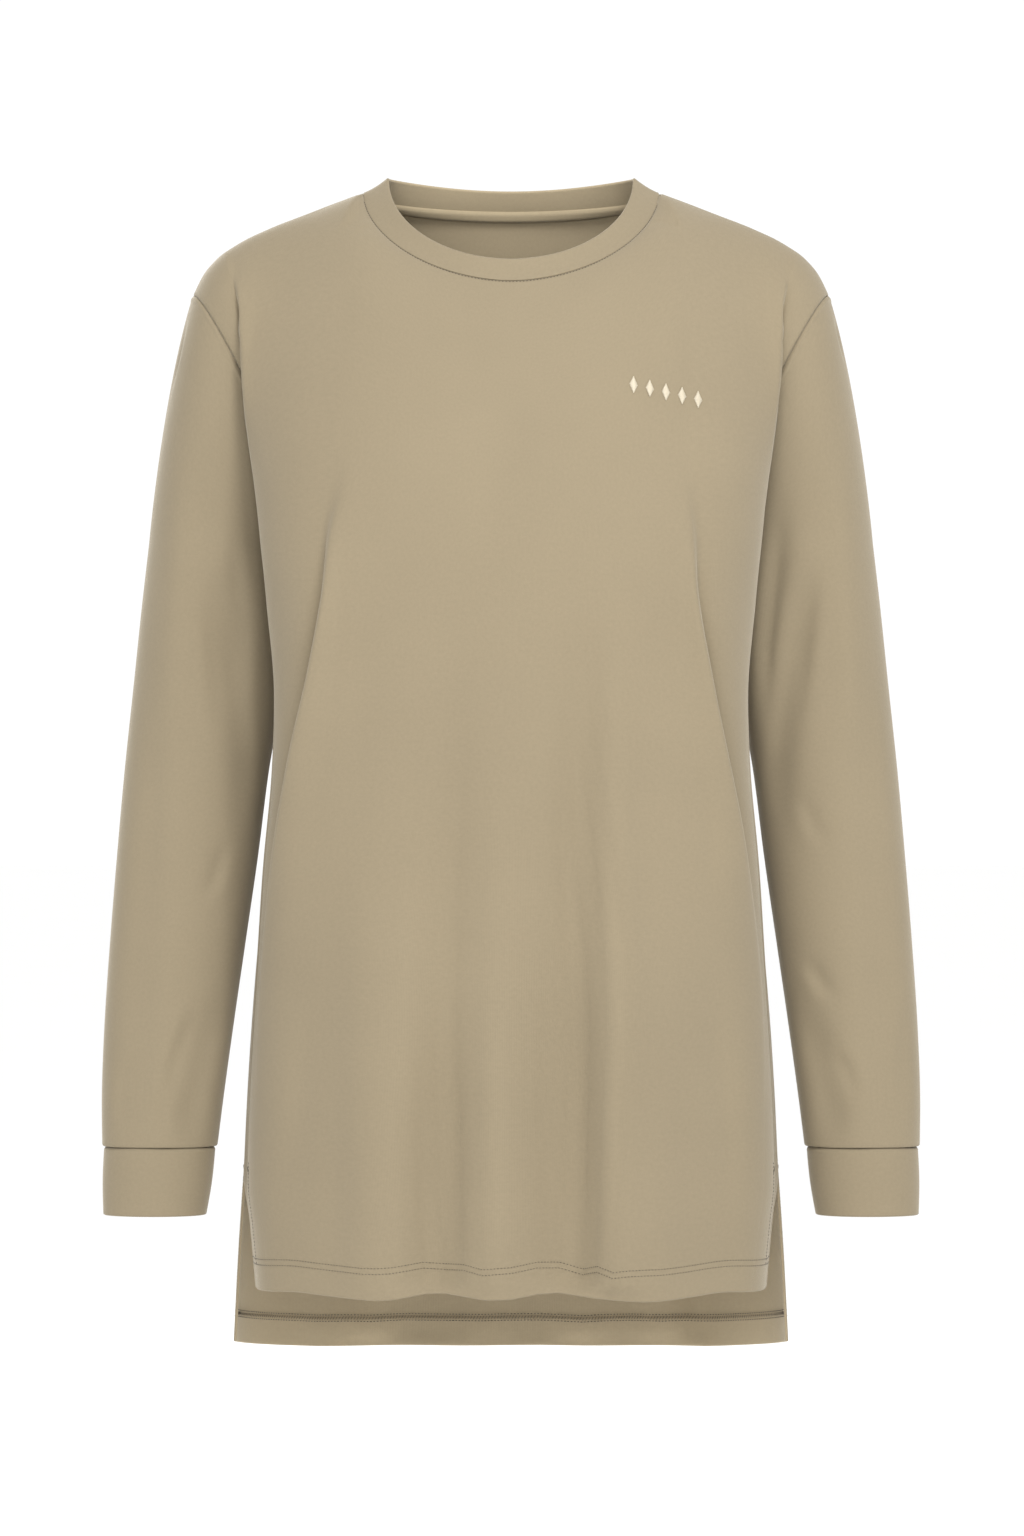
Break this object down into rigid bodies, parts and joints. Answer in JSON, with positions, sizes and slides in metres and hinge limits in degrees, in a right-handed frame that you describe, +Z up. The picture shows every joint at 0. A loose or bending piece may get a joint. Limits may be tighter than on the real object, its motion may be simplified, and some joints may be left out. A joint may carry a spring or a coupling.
{
  "type": "long-sleeve training top",
  "caption": "Long-sleeve crew-neck training top in plain knit, tunic length, with drop shoulders, deep cuffs and side slits above a stepped hem.",
  "frame": {"origin": "midway between the two points where neckband and shoulder seams meet, where the wearer's shoulders hold the garment", "axes": "+Z up, the front faces -Y, +X is the wearer's left"},
  "size_m": [0.574, 0.2471, 0.8277],
  "materials": {
    "body_knit": "smooth matt khaki interlock knit",
    "cuff_knit": "the same knit, doubled",
    "band_knit": "the same knit, folded",
    "neck_tape": "flat woven tape, tone on tone"
  },
  "bodies": {
    "root": {"front": "body_knit", "back": "body_knit", "sleeve_left": "body_knit", "sleeve_right": "body_knit", "cuff_left": "cuff_knit", "cuff_right": "cuff_knit", "neckband": "band_knit", "back_neck_tape": "neck_tape"}
  },
  "joints": []
}
